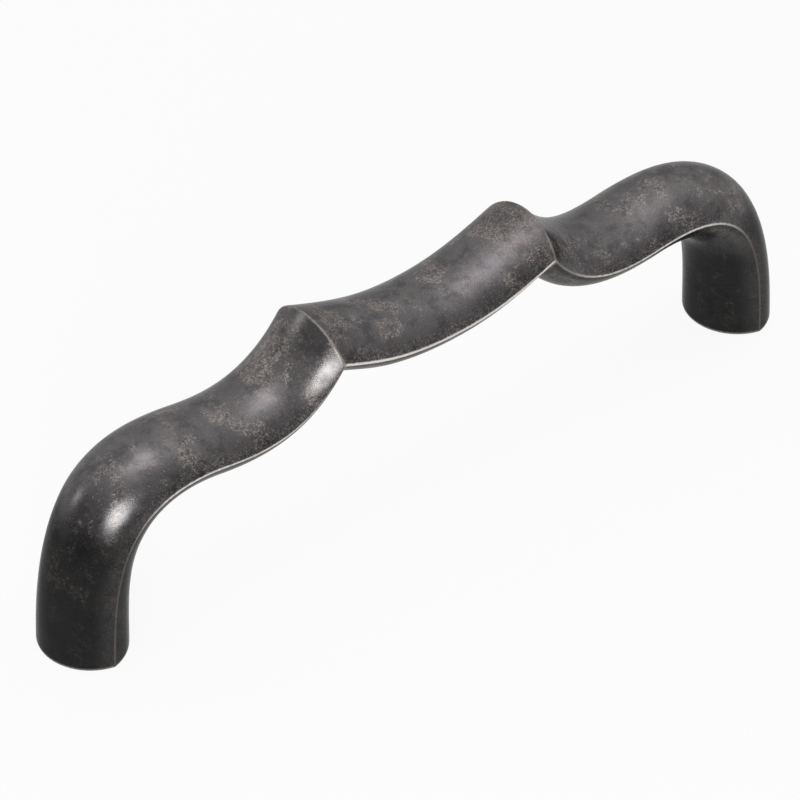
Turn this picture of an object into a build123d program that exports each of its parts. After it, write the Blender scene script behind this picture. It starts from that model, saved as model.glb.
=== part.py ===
from build123d import *
import math
import os

# Bar pull: one zinc die casting with two legs, low shoulders and a sagging bar between two
# pointed ridges. Its section is a lens all the way, two arcs that meet in a front and a back seam.
# Frame: origin on the mounting plane midway between the screw holes, +X along the bar,
# +Z away from the drawer front. Lengths in millimetres, angles in degrees.

# Mounting
HOLE_SPACING = 96.0
SCREW_HOLE_RADIUS = 1.65
SCREW_HOLE_DEPTH = 12.0
DRILL_POINT_ANGLE = 118.0
COUNTERSINK_DEPTH = 0.6

# Line of the seams, seen from the front
LEG_LEAN = 2.5
LEG_RISE = 2.4
SHOULDER_REACH_UP = 10.8
SHOULDER_REACH_BACK = 13.7
DIP_OFFSET = 31.7
DIP_HEIGHT = 20.7
DIP_SLOPE = 8.5
CLIMB_REACH_LOW = 4.9
CLIMB_REACH_HIGH = 8.9
CLIMB_ANGLE = 55.5
RIDGE_OFFSET = 15.2
RIDGE_HEIGHT = 26.7
RIDGE_LEAN = 9.2
FALL_ANGLE = 22.0
FALL_REACH = 5.0
MIDDLE_REACH = 6.8
MIDDLE_SAG = 3.45

# Section: width across the seams, and how far the two arcs stand above and below them
SEAM_WIDTH = 12.5
FOOT_CROWNS = (5.0, 4.95)
SHOULDER_CROWNS = (4.5, 4.5)
DIP_CROWNS = (3.3, 3.9)
RIDGE_CROWNS = (3.65, 3.6)
MIDDLE_CROWNS = (3.15, 3.85)
FOOT_EDGE_BREAK = 0.2

# Number of section steps along each stretch of the line
SHOULDER_STEPS = 12
CLIMB_STEPS = 9
MIDDLE_STEPS = 3


def eased(share):
    """Smooth step from 0 to 1, level at both ends."""
    return share * share * (3 - 2 * share)


def between(low, high, share):
    return low + (high - low) * share


def along(angle, reach):
    """Step of a given reach in the front view, at an angle above the bar's direction."""
    slope = math.radians(angle)
    return Vector(reach * math.cos(slope), 0, reach * math.sin(slope))


def heading(curve, share):
    """Angle of the line at a share of a curve's length."""
    direction = curve % share
    return math.degrees(math.atan2(direction.Z, direction.X))


def seam_line():
    """Left half of the seams' line: the leg, the shoulder, the climb and half of the middle."""
    leg_angle = 90 - LEG_LEAN
    foot = Vector(-HOLE_SPACING / 2, 0, 0)
    leg_top = foot + along(leg_angle, LEG_RISE)
    dip = Vector(-DIP_OFFSET, 0, DIP_HEIGHT)
    ridge = Vector(-RIDGE_OFFSET, 0, RIDGE_HEIGHT)
    centre = Vector(0, 0, RIDGE_HEIGHT - MIDDLE_SAG)
    leg = Line(foot, leg_top)
    shoulder = Bezier(
        leg_top,
        leg_top + along(leg_angle, SHOULDER_REACH_UP),
        dip - along(-DIP_SLOPE, SHOULDER_REACH_BACK),
        dip,
    )
    climb = Bezier(
        dip,
        dip + along(-DIP_SLOPE, CLIMB_REACH_LOW),
        ridge - along(CLIMB_ANGLE, CLIMB_REACH_HIGH),
        ridge,
    )
    middle = Bezier(
        ridge,
        ridge + along(-FALL_ANGLE, FALL_REACH),
        centre - along(0, MIDDLE_REACH),
        centre,
    )
    return leg, shoulder, climb, middle


def lens(centre, lean, crowns):
    """Lens section at a point of the line; its flat normal leans by an angle above +X."""
    outer, inner = crowns
    front, back = (-SEAM_WIDTH / 2, 0), (SEAM_WIDTH / 2, 0)
    outer_face = ThreePointArc(front, (0, outer), back)
    inner_face = ThreePointArc(back, (0, -inner), front)
    section = make_face(outer_face + inner_face)
    return Plane(origin=centre, x_dir=(0, 1, 0), z_dir=along(lean, 1)) * section


def mixed(low, high, share):
    """Crowns of a section that lies between two named ones."""
    return tuple(between(a, b, eased(share)) for a, b in zip(low, high))


def limb_sections():
    """Sections from the mounting plane up the leg, over the shoulder and up to the ridge."""
    leg, shoulder, climb, _ = seam_line()
    sections = [lens(leg @ 0, 90, FOOT_CROWNS)]
    rise = leg.length + shoulder.length / 2
    for step in range(1, SHOULDER_STEPS + 1):
        share = step / SHOULDER_STEPS
        if share < 0.5:
            travelled = leg.length + share * shoulder.length
            crowns = mixed(FOOT_CROWNS, SHOULDER_CROWNS, travelled / rise)
        else:
            crowns = mixed(SHOULDER_CROWNS, DIP_CROWNS, 2 * share - 1)
        sections.append(lens(shoulder @ share, heading(shoulder, share), crowns))
    for step in range(1, CLIMB_STEPS + 1):
        share = step / CLIMB_STEPS
        lean = between(heading(climb, share), RIDGE_LEAN, eased(share))
        sections.append(lens(climb @ share, lean, mixed(DIP_CROWNS, RIDGE_CROWNS, share)))
    return sections


def middle_sections():
    """Sections from the left ridge through the sag to the right ridge."""
    middle = seam_line()[-1]
    sections = []
    for step in range(-MIDDLE_STEPS, MIDDLE_STEPS + 1):
        side = 1 if step > 0 else -1
        share = 1 - abs(step) / MIDDLE_STEPS
        point = middle @ share
        lean = between(RIDGE_LEAN, heading(middle, share), eased(share))
        crowns = mixed(RIDGE_CROWNS, MIDDLE_CROWNS, share)
        sections.append(lens(Vector(-side * point.X, 0, point.Z), -side * lean, crowns))
    return sections


def screw_hole():
    """Blind tapped hole of one foot with its countersink, drawn at the origin."""
    point_depth = SCREW_HOLE_RADIUS / math.tan(math.radians(DRILL_POINT_ANGLE / 2))
    profile = Polyline(
        (0, 0),
        (SCREW_HOLE_RADIUS + COUNTERSINK_DEPTH, 0),
        (SCREW_HOLE_RADIUS, COUNTERSINK_DEPTH),
        (SCREW_HOLE_RADIUS, SCREW_HOLE_DEPTH),
        (0, SCREW_HOLE_DEPTH + point_depth),
        close=True,
    )
    return revolve(Plane.XZ * make_face(profile), Axis.Z)


def pull_body():
    """The whole casting: both limbs and the middle as one solid, with its screw holes."""
    limb = loft(limb_sections())
    limb = chamfer(limb.faces().sort_by(Axis.Z)[0].edges(), FOOT_EDGE_BREAK)
    body = limb + loft(middle_sections()) + mirror(limb, Plane.YZ)
    for side in (-1, 1):
        body -= Pos(side * HOLE_SPACING / 2, 0, 0) * screw_hole()
    return body


os.makedirs("parts", exist_ok=True)
export_step(pull_body(), "parts/pull_body.step")
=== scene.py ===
import bpy
import bmesh
import math
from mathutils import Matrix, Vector, geometry, kdtree


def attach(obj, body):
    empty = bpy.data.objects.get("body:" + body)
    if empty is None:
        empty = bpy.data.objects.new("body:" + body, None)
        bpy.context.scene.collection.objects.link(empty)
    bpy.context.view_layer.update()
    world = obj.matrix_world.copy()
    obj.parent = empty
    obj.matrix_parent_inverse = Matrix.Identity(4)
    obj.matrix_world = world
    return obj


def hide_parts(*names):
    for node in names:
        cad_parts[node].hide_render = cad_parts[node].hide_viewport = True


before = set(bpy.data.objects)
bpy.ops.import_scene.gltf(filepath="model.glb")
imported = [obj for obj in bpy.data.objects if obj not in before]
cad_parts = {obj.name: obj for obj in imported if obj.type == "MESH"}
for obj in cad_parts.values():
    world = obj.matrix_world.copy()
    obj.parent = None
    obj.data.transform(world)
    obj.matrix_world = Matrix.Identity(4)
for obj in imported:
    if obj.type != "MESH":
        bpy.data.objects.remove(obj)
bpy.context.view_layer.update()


# The pull is one zinc die casting: two legs, low shoulders and a sagging bar between two pointed
# ridges. It is darkened, then rubbed back by hand, so the seams and ridges are worn bright; the
# finish below adds painted light and shade to that.
# A tapped hole in each foot takes the screw that comes through the drawer front.
millimetre = 0.001
half_spacing = 48.0
seam_half_width = 6.25
leg_lean, leg_rise = 2.5, 2.4
foot_crowns, shoulder_crowns, dip_crowns = (5.0, 4.95), (4.5, 4.5), (3.3, 3.9)
ridge_crowns, middle_crowns = (3.65, 3.6), (3.15, 3.85)
ridge_lean = 9.2
curve_points = 600
leg_steps, shoulder_steps, climb_steps, middle_steps = 5, 60, 40, 32
tolerance = 0.001


def eased(share):
    """Smooth step from 0 to 1, level at both ends."""
    return share * share * (3 - 2 * share)


def mixed(low, high, share):
    """Crowns of a section that lies between two named ones."""
    return tuple(a + (b - a) * eased(share) for a, b in zip(low, high))


def along(angle, reach):
    """Step of a given reach in the front view, at an angle above the bar's direction."""
    return Vector((math.cos(math.radians(angle)), 0, math.sin(math.radians(angle)))) * reach


def stretch(start, start_angle, start_reach, end, end_angle, end_reach):
    """Evenly spaced walk along one curve of the bar, and the curve's length."""
    near = start + along(start_angle, start_reach)
    far = end - along(end_angle, end_reach)
    points = geometry.interpolate_bezier(start, near, far, end, curve_points)
    travelled = [0.0]
    for one, two in zip(points, points[1:]):
        travelled.append(travelled[-1] + (two - one).length)

    def walk(share):
        """Place and heading at a share of the curve's length."""
        goal = share * travelled[-1]
        i = max(1, next((k for k, t in enumerate(travelled) if t >= goal), len(points) - 1))
        course = points[i] - points[i - 1]
        part = (goal - travelled[i - 1]) / (travelled[i] - travelled[i - 1])
        return points[i - 1] + course * part, math.degrees(math.atan2(course.z, course.x))

    return walk, travelled[-1]


leg_angle = 90 - leg_lean
foot = Vector((-half_spacing, 0, 0))
leg_top = foot + along(leg_angle, leg_rise)
dip, ridge, centre = Vector((-31.7, 0, 20.7)), Vector((-15.2, 0, 26.7)), Vector((0, 0, 23.25))
shoulder, shoulder_length = stretch(leg_top, leg_angle, 10.8, dip, -8.5, 13.7)
climb, _ = stretch(dip, -8.5, 4.9, ridge, 55.5, 8.9)
middle, _ = stretch(ridge, -22.0, 5.0, centre, 0.0, 6.8)

# Each station is where the section stands, how far it leans, and how high its two arcs rise.
stations = []
limb_top = leg_rise + shoulder_length / 2
for step in range(leg_steps):
    share = step / leg_steps
    crowns = mixed(foot_crowns, shoulder_crowns, share * leg_rise / limb_top)
    stations.append((foot.lerp(leg_top, share), 90 - leg_lean * share, crowns))
for step in range(shoulder_steps):
    share = step / shoulder_steps
    place, heading = shoulder(share)
    if share < 0.5:
        reached = (leg_rise + share * shoulder_length) / limb_top
        crowns = mixed(foot_crowns, shoulder_crowns, reached)
    else:
        crowns = mixed(shoulder_crowns, dip_crowns, 2 * share - 1)
    stations.append((place, heading, crowns))
for step in range(climb_steps):
    share = step / climb_steps
    place, heading = climb(share)
    lean = heading + (ridge_lean - heading) * eased(share)
    stations.append((place, lean, mixed(dip_crowns, ridge_crowns, share)))
for step in range(middle_steps + 1):
    share = step / middle_steps
    place, heading = middle(share)
    lean = ridge_lean + (heading - ridge_lean) * eased(share)
    stations.append((place, lean, mixed(ridge_crowns, middle_crowns, share)))

# A flat sheet is wrapped round the line, one strip for each arc of the lens section. Its rows
# crowd a little towards the seams, and the last section lies on the mirror plane.
arc_steps = 30
even_share, crowded_share = 0.55, 0.45
shell = bmesh.new()
bmesh.ops.create_grid(shell, x_segments=len(stations) - 1, y_segments=2 * arc_steps, size=1)
for corner in shell.verts:
    place, lean, crowns = station = stations[round((corner.co.x + 1) / 2 * (len(stations) - 1))]
    turn = round((corner.co.y + 1) * arc_steps)
    outside = turn <= arc_steps
    share = turn / arc_steps if outside else 2 - turn / arc_steps
    share = even_share * share + crowded_share * (0.5 - 0.5 * math.cos(math.pi * share))
    crown = crowns[0] if outside else crowns[1]
    radius = (seam_half_width**2 + crown**2) / (2 * crown)
    swing = 2 * math.atan(crown / seam_half_width) * (2 * share - 1)
    rise = radius * math.cos(swing) - (radius - crown)
    across = along(lean + 90, rise if outside else -rise)
    corner.co = place + across + Vector((0, radius * math.sin(swing), 0))
    if station is stations[-1]:
        corner.co.x = 0
bmesh.ops.remove_doubles(shell, verts=shell.verts, dist=tolerance)

# The right half mirrors the left.
whole = shell.verts[:] + shell.edges[:] + shell.faces[:]
bmesh.ops.mirror(shell, geom=whole, axis="X", merge_dist=tolerance)
bmesh.ops.recalc_face_normals(shell, faces=shell.faces)

# The screw holes: a countersunk mouth, a right-handed M4 thread and the drill's point at the end.
# The groove's flanks slope to a flat root and crest, and it fades in and runs out along the hole.
mouth_radius, drill_radius, thread_radius = 2.25, 1.65, 2.0
countersink_depth, thread_end, drill_depth = 0.6, 10.5, 12.0
thread_pitch, thread_fade_in, thread_run_out = 0.7, 0.35, 1.2
groove_height, flank_slope = 1.25, 2.9
drill_angle = 118
drill_point = drill_radius / math.tan(math.radians(drill_angle / 2))
hole_sides, rows_in_turn = 40, 8
row_depth = thread_pitch / rows_in_turn


def deepen(rim, hole_x, depth):
    """Draws the hole's wall on to a new ring, and cuts the thread's groove where it runs."""
    drawn = bmesh.ops.extrude_edge_only(shell, edges=rim)["geom"]
    for v in (g for g in drawn if isinstance(g, bmesh.types.BMVert)):
        angle = math.atan2(v.co.y, v.co.x - hole_x)
        reach = drill_radius
        if countersink_depth < depth < thread_end:
            turn = (depth / thread_pitch - angle / (2 * math.pi)) % 1
            fade_in = (depth - countersink_depth) / thread_fade_in
            run_out = (thread_end - depth) / thread_run_out
            groove = min(1, max(0, groove_height - abs(turn - 0.5) * flank_slope))
            reach += (thread_radius - drill_radius) * min(1, fade_in, run_out) * groove
        v.co = Vector((hole_x + reach * math.cos(angle), reach * math.sin(angle), depth))
    return [g for g in drawn if isinstance(g, bmesh.types.BMEdge)]


for hole_x in (-half_spacing, half_spacing):
    sole = [e for e in shell.edges if e.is_boundary and e.verts[0].co.x * hole_x > 0]
    mouth = bmesh.ops.create_circle(shell, segments=hole_sides, radius=mouth_radius)["verts"]
    bmesh.ops.translate(shell, verts=mouth, vec=Vector((hole_x, 0, 0)))
    rim = list({e for v in mouth for e in v.link_edges})
    bmesh.ops.bridge_loops(shell, edges=sole + rim)
    for step in range(int((drill_depth - countersink_depth) / row_depth) + 1):
        rim = deepen(rim, hole_x, countersink_depth + step * row_depth)
    rim = deepen(rim, hole_x, drill_depth)
    point = bmesh.ops.extrude_edge_only(shell, edges=rim)["geom"]
    point = [g for g in point if isinstance(g, bmesh.types.BMVert)]
    tip = Vector((hole_x, 0, drill_depth + drill_point))
    bmesh.ops.pointmerge(shell, verts=point, merge_co=tip)
bmesh.ops.recalc_face_normals(shell, faces=shell.faces)

# The seams, the ridges and the feet's rims are eased.
worn_edge, foot_edge_break = 0.2, 0.2
ridge_tolerance = 0.005
flat_sole, outside_mouth = 0.9, 3.0


def ease(edges, offset):
    """Rounds sharp edges off by a small radius."""
    bmesh.ops.bevel(shell, geom=edges, offset=offset, offset_type="OFFSET", affect="EDGES",
                    segments=3, profile=0.5, material=-1, clamp_overlap=True)


def on_seam(v):
    return abs(v.co.y) > seam_half_width - tolerance


def on_ridge(v):
    """Whether a corner lies in the plane of one of the two ridges."""
    from_left_ridge = Vector((-abs(v.co.x), 0, v.co.z)) - ridge
    return abs(from_left_ridge.dot(along(ridge_lean, 1))) < ridge_tolerance


def on_sole_rim(v):
    """Whether a corner stands on the mounting plane, clear of the screw hole's mouth."""
    hole = Vector((math.copysign(half_spacing, v.co.x), 0))
    return v.co.z < tolerance and (v.co.xy - hole).length > outside_mouth


seams = [e for e in shell.edges if all(on_seam(v) for v in e.verts)]
ridges = [e for e in shell.edges if all(on_ridge(v) for v in e.verts)]
seam_line = [(e.verts[0].co.copy(), e.verts[1].co.copy()) for e in seams]
ridge_line = [(e.verts[0].co.copy(), e.verts[1].co.copy()) for e in ridges]
ease(seams + ridges, worn_edge)
sole_rims = [e for e in shell.edges if all(on_sole_rim(v) for v in e.verts)
             and any(abs(f.normal.z) < flat_sole for f in e.link_faces)]
ease(sole_rims, foot_edge_break)


def nearest_on(lines):
    """Finds the nearest place on a worn line, and the line's direction there."""
    neighbours = 4
    tree = kdtree.KDTree(len(lines))
    for i, (one, two) in enumerate(lines):
        tree.insert((one + two) / 2, i)
    tree.balance()

    def search(spot):
        """Distance to the line, the nearest place on it and its direction."""
        found = []
        for _, i, _ in tree.find_n(spot, neighbours):
            one, two = lines[i]
            share = min(1, max(0, geometry.intersect_point_line(spot, one, two)[1]))
            place = one.lerp(two, share)
            found.append(((spot - place).length, place, (two - one).normalized()))
        return min(found, key=lambda f: f[0])

    return search


# The finish reads how far each corner is from the seams and ridges, in millimetres, and on
# which side of the seams it lies: above them on the outer face, below them on the inner one.
sharp_edge_angle = 35
from_seam = shell.verts.layers.float.new("from_seam")
from_ridge = shell.verts.layers.float.new("from_ridge")
over_seam = shell.verts.layers.float.new("over_seam")
nearest_seam, nearest_ridge = nearest_on(seam_line), nearest_on(ridge_line)
for corner in shell.verts:
    corner[from_seam], place, course = nearest_seam(corner.co)
    course *= math.copysign(1, course.x)
    corner[over_seam] = (corner.co - place).dot(Vector((-course.z, 0, course.x)))
    corner[from_ridge] = nearest_ridge(corner.co)[0]
bmesh.ops.scale(shell, vec=Vector((1, 1, 1)) * millimetre, verts=shell.verts)
bmesh.ops.recalc_face_normals(shell, faces=shell.faces)
for face in shell.faces:
    face.smooth = True
for edge in shell.edges:
    edge.smooth = edge.calc_face_angle(0) < math.radians(sharp_edge_angle)
mesh = bpy.data.meshes.new("pull_casting")
shell.to_mesh(mesh)
shell.free()
casting = bpy.data.objects.new("pull_casting", mesh)
bpy.context.collection.objects.link(casting)

# The dark antique finish: near-black plating under a thin clear lacquer, rubbed lighter where
# hands reach it. Its colour also carries painted light and shade: lighter on top, darker on the
# legs, under the bar and beside the seams and ridges, and a painted highlight along the seams.
# Every length in it is in millimetres.
# The near black and the grey are partly the plating's and the rubbed finish's own tones and partly
# painted shade and painted light; the colour beside the seams on the legs is painted light, and
# the bare metal's brightness is partly painted highlight.
plated_black_and_painted_shade, seam_strip_painted_light = (0.0075, 0.0074, 0.0075), (0.026, 0.025, 0.025)
rubbed_grey_and_painted_light, fleck_brown = (0.142, 0.138, 0.140), (0.26, 0.225, 0.195)
worn_brown, dull_metal, bare_metal_and_painted_highlight = (0.32, 0.29, 0.265), (0.090, 0.082, 0.074), (0.74, 0.71, 0.67)
finish = bpy.data.materials.new("dark_antique_finish")
finish.use_nodes = True
nodes, links = finish.node_tree.nodes, finish.node_tree.links


def preset(node, numbers):
    """Gives a node's sockets their own values."""
    for name, number in numbers.items():
        node.inputs[name].default_value = number


def plug(socket, value):
    """Feeds a socket from another node, or with a plain value."""
    if isinstance(value, bpy.types.NodeSocket):
        links.new(value, socket)
    else:
        socket.default_value = value


def maths(operation, *values):
    """Result of one Math node."""
    node = nodes.new("ShaderNodeMath")
    node.operation = operation
    for socket, value in zip(node.inputs, values):
        plug(socket, value)
    return node.outputs[0]


def times(value, *factors):
    """All of the values multiplied."""
    for factor in factors:
        value = maths("MULTIPLY", value, factor)
    return value


def spread(value, low, high, to_low=0.0, to_high=1.0):
    """Smooth step of a value: to_low at low, and to_high at high."""
    node = nodes.new("ShaderNodeMapRange")
    node.interpolation_type = "SMOOTHSTEP"
    preset(node, {"From Min": low, "From Max": high, "To Min": to_low, "To Max": to_high})
    plug(node.inputs["Value"], value)
    return node.outputs[0]


def blotches(size, detail=4.0, roughness=0.55, distortion=0.0, shift=0.0):
    """Cloudy pattern whose patches are about this many millimetres across."""
    placing = nodes.new("ShaderNodeMapping")
    placing.inputs["Location"].default_value = (shift, 0, 0)
    links.new(spot, placing.inputs["Vector"])
    node = nodes.new("ShaderNodeTexNoise")
    preset(node, {"Scale": 1 / size, "Detail": detail,
                  "Roughness": roughness, "Distortion": distortion})
    links.new(placing.outputs["Vector"], node.inputs["Vector"])
    return node.outputs["Fac"]


def tint(share, low, high, blend="MIX"):
    """One colour blended with another by a share."""
    node = nodes.new("ShaderNodeMix")
    node.data_type, node.blend_type = "RGBA", blend
    plug(node.inputs["Factor"], share)
    for socket, colour in ((node.inputs["A"], low), (node.inputs["B"], high)):
        plug(socket, colour if isinstance(colour, bpy.types.NodeSocket) else (*colour, 1))
    return node.outputs["Result"]


def dyed(colour, share, by):
    """The colour multiplied by another one, where the share says so."""
    return tint(share, colour, by, "MULTIPLY")


def measured(name):
    """What each corner of the casting holds under this name."""
    node = nodes.new("ShaderNodeAttribute")
    node.attribute_name = name
    return node.outputs["Fac"]


def close_to(x, y, z, reach):
    """1 at a place of the casting, and 0 from a reach of it onwards."""
    node = nodes.new("ShaderNodeVectorMath")
    node.operation = "DISTANCE"
    links.new(spot, node.inputs[0])
    node.inputs[1].default_value = (x, y, z)
    return spread(node.outputs["Value"], 0.2 * reach, reach, 1.0, 0.0)


coordinates = nodes.new("ShaderNodeTexCoord")
scaled = nodes.new("ShaderNodeVectorMath")
scaled.operation = "SCALE"
scaled.inputs["Scale"].default_value = 1 / millimetre
links.new(coordinates.outputs["Object"], scaled.inputs[0])
spot = scaled.outputs["Vector"]
split = nodes.new("ShaderNodeSeparateXYZ")
links.new(spot, split.inputs[0])
sideways, up = split.outputs["X"], split.outputs["Z"]
above, off_seam, off_ridge = measured("over_seam"), measured("from_seam"), measured("from_ridge")

# Ground: near black on the legs, under the bar and beside the seams, grey on top, and mottled all
# over. The grey top is partly rubbed finish and partly painted light; the near black legs and
# underside are partly plating and partly painted shade. The lighter strip beside the seams on the
# legs is painted light, and the darkening beside the seams and ridges higher up is painted shade.
# Painted light and shade, partly rubbed wear: lighter towards the top, fully on the outer face and
# less on the inner face; the legs stay near black.
rubbed_and_painted_light_outside = times(spread(up, 15.5, 22.4), spread(above, -0.6, 0.3))
rubbed_and_painted_light_inside = times(spread(up, 11.5, 19.0, 0.0, 0.42), spread(above, 0.3, -0.6))
plating_with_painted_light_and_shade = tint(spread(off_seam, 0.4, 3.0), seam_strip_painted_light, plated_black_and_painted_shade)
ground = tint(maths("ADD", rubbed_and_painted_light_outside, rubbed_and_painted_light_inside), plating_with_painted_light_and_shade, rubbed_grey_and_painted_light)
# Painted shade: darker beside the seams on the upper faces, and darker still just under them.
raised = spread(up, 14.0, 18.0)
painted_shade_over_seam = times(raised, spread(off_seam, 0.4, 3.0, 1.0, 0.0), spread(above, -0.1, 0.3))
ground = dyed(ground, painted_shade_over_seam, (0.62, 0.62, 0.63))
# Painted shade: darker towards the ridges, dimming the reflection beside them.
ground = dyed(ground, spread(off_ridge, 0.6, 7.5, 1.0, 0.0), (0.78, 0.78, 0.78))
painted_shade_under_seam = times(raised, spread(off_seam, 0.3, 1.3, 1.0, 0.0), spread(above, 0.0, -0.15))
ground = dyed(ground, painted_shade_under_seam, (0.45, 0.45, 0.45))
pale_clouds = spread(blotches(3.4, detail=4, roughness=0.6), 0.40, 0.70)
dark_clouds = spread(blotches(1.9, detail=5, roughness=0.65), 0.51, 0.37)
pale_grains = spread(blotches(0.17, detail=2), 0.40, 0.62)
ground = dyed(ground, pale_clouds, (1.24, 1.22, 1.20))
ground = dyed(ground, dark_clouds, (0.72, 0.72, 0.73))
ground = dyed(ground, pale_grains, (1.18, 1.17, 1.16))

# Flecks: curled scratches and fine specks of the brown underlayer, in patches that are
# thickest beside the ridges, loose elsewhere, and in a band along the seams. The right peak,
# the left climb and the top of the left leg are rubbed most, and the left bend hardly.
patchy = blotches(3.2, detail=5, roughness=0.62, shift=52.0)
beside_ridge = times(spread(off_ridge, 0.6, 2.0), spread(off_ridge, 4.5, 7.5, 1.0, 0.0))
for rub, strength in (
    (beside_ridge, 0.062),
    (close_to(13.5, 1.5, 29.5, 5.5), 0.13),
    (close_to(-21.8, 1.8, 26.0, 4.8), 0.14),
    (close_to(-52.5, 1.5, 14.5, 6.0), 0.12),
    (close_to(-49.5, -1.0, 21.0, 6.0), -0.11),
    (close_to(12.0, -4.0, 27.0, 5.0), -0.05),
):
    patchy = maths("ADD", patchy, times(rub, strength))
hard_rubbed = spread(patchy, 0.525, 0.60)
loose = times(spread(patchy, 0.44, 0.56), 0.25)
band = times(spread(off_seam, 0.3, 2.2, 0.65, 0.0), spread(above, -0.1, 0.2))
curls = blotches(1 / 1.08, detail=4, roughness=0.65, distortion=1.4)
off_line = maths("ABSOLUTE", maths("SUBTRACT", curls, 0.5))
specks = spread(blotches(0.22, detail=4, roughness=0.75), 0.53, 0.66)
dust = times(spread(blotches(0.20, detail=2, roughness=0.5), 0.66, 0.72), 0.7)
broken = spread(blotches(0.35, detail=2), 0.38, 0.55, 0.25, 1.0)
marks = maths("MAXIMUM", times(spread(off_line, 0.008, 0.040, 1.0, 0.0), broken), specks)
flecks = times(marks, maths("MAXIMUM", maths("MAXIMUM", hard_rubbed, loose), band))
flecks = times(maths("MAXIMUM", flecks, dust), spread(up, 3.0, 14.0, 0.4, 0.85))
coat = tint(times(flecks, 0.16), dyed(ground, flecks, (2.8, 2.55, 2.32)), fleck_brown)

# Wear: metal along the seams, wide between the ridges and narrower past them; its brightness, high
# between the ridges and dull over the bends and down the legs, is partly painted highlight. The
# ridges and the soles are worn to a brownish metal.
ragged = times(blotches(0.45, detail=4, roughness=0.7), 0.24)
off_middle = maths("ABSOLUTE", sideways)
outside = spread(off_middle, 14.8, 15.4)
past_ridge = times(outside, spread(off_ridge, 2.0, 11.0, 0.8, 0.0))
# Painted highlight, on top of real wear: the worn seam metal is bright between the ridges and dull
# past them, over the bends and down the legs, where the edge catches less light.
wear_level_and_painted_highlight = times(spread(up, 13.0, 21.5), spread(blotches(8.0, detail=2), 0.34, 0.54, 0.85, 1.0))
wear_level_and_painted_highlight = times(wear_level_and_painted_highlight, maths("SUBTRACT", 1.0, past_ridge), spread(off_middle, 38.5, 46.0, 1.0, 0.25))
narrower = maths("ADD", off_seam, times(outside, 0.062))
seam_wear = spread(maths("ADD", narrower, ragged), 0.245, 0.395, 1.0, 0.0)
bare = times(seam_wear, wear_level_and_painted_highlight)
torn = maths("ADD", off_ridge, times(blotches(0.6, detail=5, roughness=0.75), 0.5))
ridge_wear = times(spread(torn, 0.28, 0.52, 1.0, 0.0), 0.85)
right_peak = times(spread(off_middle, 15.4, 14.6), spread(sideways, 0.0, 10.0))
peak_wear = times(spread(torn, 0.3, 1.5, 0.6, 0.0), right_peak)
sole_wear = times(spread(maths("ADD", up, ragged), 0.24, 0.55, 1.0, 0.0), 0.6)
coat = tint(maths("MAXIMUM", maths("MAXIMUM", ridge_wear, peak_wear), sole_wear), coat, worn_brown)
coat = tint(seam_wear, coat, tint(wear_level_and_painted_highlight, dull_metal, bare_metal_and_painted_highlight))
matte = maths("MAXIMUM", times(flecks, 0.6), times(ridge_wear, 0.6))
metallic = maths("SUBTRACT", 0.85, maths("MAXIMUM", matte, times(bare, 0.35)))
dull = times(maths("MAXIMUM", matte, times(bare, 0.5)), 0.4)
dull = maths("ADD", spread(blotches(1.4, detail=4), 0.3, 0.7, 0.22, 0.28), dull)
grain = nodes.new("ShaderNodeBump")
preset(grain, {"Strength": 0.25, "Distance": 0.03 * millimetre})
links.new(blotches(0.14, detail=2), grain.inputs["Height"])

surface = nodes["Principled BSDF"]
preset(surface, {"Specular IOR Level": 0.0, "Specular Tint": (0.40, 0.40, 0.40, 1),
                 "Coat Weight": 0.26, "Coat Roughness": 0.27, "Coat IOR": 1.5})
links.new(coat, surface.inputs["Base Color"])
links.new(metallic, surface.inputs["Metallic"])
links.new(dull, surface.inputs["Roughness"])
links.new(grain.outputs["Normal"], surface.inputs["Normal"])
casting.data.materials.append(finish)
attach(casting, "root")
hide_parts("pull_body")


# The floor is a plain white sheet, a hair below the feet. It shows as the white ground and
# keeps a faint shadow.
floor_half_width, gap_under_feet = 3.0, 0.05 * millimetre
white_share = 0.90
floor_shape = bmesh.new()
bmesh.ops.create_grid(floor_shape, x_segments=1, y_segments=1, size=floor_half_width)
bmesh.ops.translate(floor_shape, verts=floor_shape.verts, vec=Vector((0, 0, -gap_under_feet)))
floor_mesh = bpy.data.meshes.new("floor")
floor_shape.to_mesh(floor_mesh)
floor_shape.free()
floor = bpy.data.objects.new("floor", floor_mesh)
bpy.context.collection.objects.link(floor)
paper = bpy.data.materials.new("white_paper")
paper.use_nodes = True
sheet, wires = paper.node_tree.nodes, paper.node_tree.links
shaded = sheet["Principled BSDF"]
preset(shaded, {"Base Color": (0.9, 0.9, 0.9, 1), "Roughness": 1.0, "Specular IOR Level": 0.0})
white = sheet.new("ShaderNodeEmission")
preset(white, {"Color": (1, 1, 1, 1), "Strength": 1.0})
seen = sheet.new("ShaderNodeLightPath")
looked_at = sheet.new("ShaderNodeMath")
looked_at.operation = "ADD"
wires.new(seen.outputs["Is Camera Ray"], looked_at.inputs[0])
wires.new(seen.outputs["Is Glossy Ray"], looked_at.inputs[1])
looked_through = sheet.new("ShaderNodeMath")
looked_through.operation, looked_through.use_clamp = "ADD", True
wires.new(looked_at.outputs[0], looked_through.inputs[0])
wires.new(seen.outputs["Is Transmission Ray"], looked_through.inputs[1])
whitened = sheet.new("ShaderNodeMath")
whitened.operation = "MULTIPLY"
whitened.inputs[1].default_value = white_share
wires.new(looked_through.outputs[0], whitened.inputs[0])
ground_mix = sheet.new("ShaderNodeMixShader")
wires.new(whitened.outputs[0], ground_mix.inputs[0])
wires.new(shaded.outputs[0], ground_mix.inputs[1])
wires.new(white.outputs[0], ground_mix.inputs[2])
wires.new(ground_mix.outputs[0], sheet["Material Output"].inputs["Surface"])
floor.data.materials.append(paper)


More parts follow.
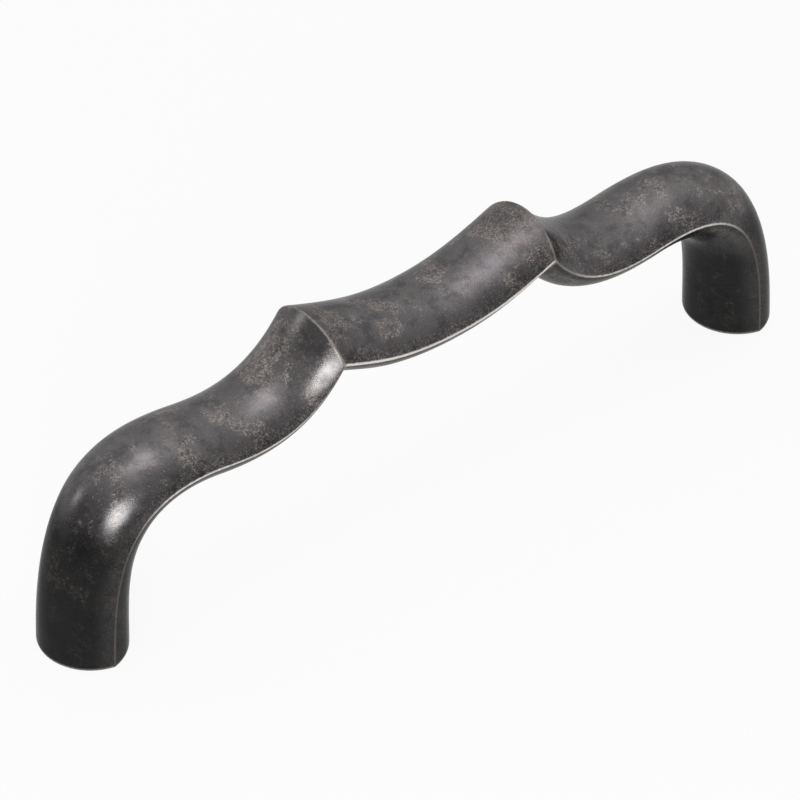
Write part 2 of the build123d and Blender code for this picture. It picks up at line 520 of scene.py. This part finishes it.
# Plain soft studio light: a soft glow overhead, a weaker one low down behind on the right, a
# round bright lamp in front on the left, and a small weak one behind on the left.
lamp_reach = 0.9
pull_middle = Vector((0, 0, 0.015))


def softbox(name, azimuth, elevation, size, glow, colour):
    """Round lamp that faces the pull; glow is how bright its face looks."""
    a, e = math.radians(azimuth), math.radians(elevation)
    towards = Vector((math.sin(a) * math.cos(e), -math.cos(a) * math.cos(e), math.sin(e)))
    lamp = bpy.data.lights.new(name, "AREA")
    lamp.shape, lamp.size = "DISK", size
    lamp.energy = glow * math.pi * math.pi * (size / 2) ** 2
    lamp.color = colour
    holder = bpy.data.objects.new(name, lamp)
    holder.location = pull_middle + towards * lamp_reach
    holder.rotation_euler = towards.to_track_quat("Z", "Y").to_euler()
    bpy.context.collection.objects.link(holder)


softbox("key_lamp", azimuth=-43, elevation=21, size=0.42, glow=10.5, colour=(1.0, 1.0, 1.0))
softbox("back_lamp", azimuth=-138, elevation=15, size=0.24, glow=1.9, colour=(1.0, 0.98, 0.96))
world = bpy.data.worlds.new("studio")
bpy.context.scene.world = world
world.use_nodes = True
room, wires = world.node_tree.nodes, world.node_tree.links
direction = room.new("ShaderNodeTexCoord")
upward = room.new("ShaderNodeSeparateXYZ")
wires.new(direction.outputs["Generated"], upward.inputs[0])
overhead = room.new("ShaderNodeValToRGB")
overhead.color_ramp.interpolation = "EASE"
for stop_at, glow in ((0.0, 0.25), (0.5, 0.26), (0.82, 0.38), (0.94, 0.90)):
    stop = overhead.color_ramp.elements.new(stop_at)
    stop.color = (glow, glow * 0.98, glow, 1)
overhead.color_ramp.elements[-1].color = (2.05, 1.95, 2.05, 1)
overhead.color_ramp.elements.remove(overhead.color_ramp.elements[0])
wires.new(upward.outputs["Z"], overhead.inputs["Fac"])
towards_window = room.new("ShaderNodeVectorMath")
towards_window.operation = "DOT_PRODUCT"
towards_window.inputs[1].default_value = (0.71, 0.71, 0)
wires.new(direction.outputs["Generated"], towards_window.inputs[0])
window = room.new("ShaderNodeMapRange")
window.interpolation_type = "SMOOTHSTEP"
preset(window, {"From Min": -0.5, "From Max": 1.0, "To Min": 0.0, "To Max": 0.40})
wires.new(towards_window.outputs["Value"], window.inputs["Value"])
both = room.new("ShaderNodeMix")
both.data_type, both.blend_type = "RGBA", "ADD"
preset(both, {"Factor": 1.0})
wires.new(overhead.outputs["Color"], both.inputs["A"])
wires.new(window.outputs["Result"], both.inputs["B"])
wires.new(both.outputs["Result"], room["Background"].inputs["Color"])

# The camera stands where the photograph's did: in front on the left, about half a metre away,
# looking down on the pull through a long lens.
lens = bpy.data.cameras.new("camera")
lens.lens, lens.sensor_width = 216.13, 36.0
lens.clip_start, lens.clip_end = 0.05, 20.0
camera = bpy.data.objects.new("camera", lens)
camera.location = (-0.26736, -0.33383, 0.36412)
camera.rotation_euler = (math.radians(50.368), 0, math.radians(-38.42))
bpy.context.collection.objects.link(camera)
bpy.context.scene.camera = camera
bpy.context.scene.view_settings.view_transform = "Standard"
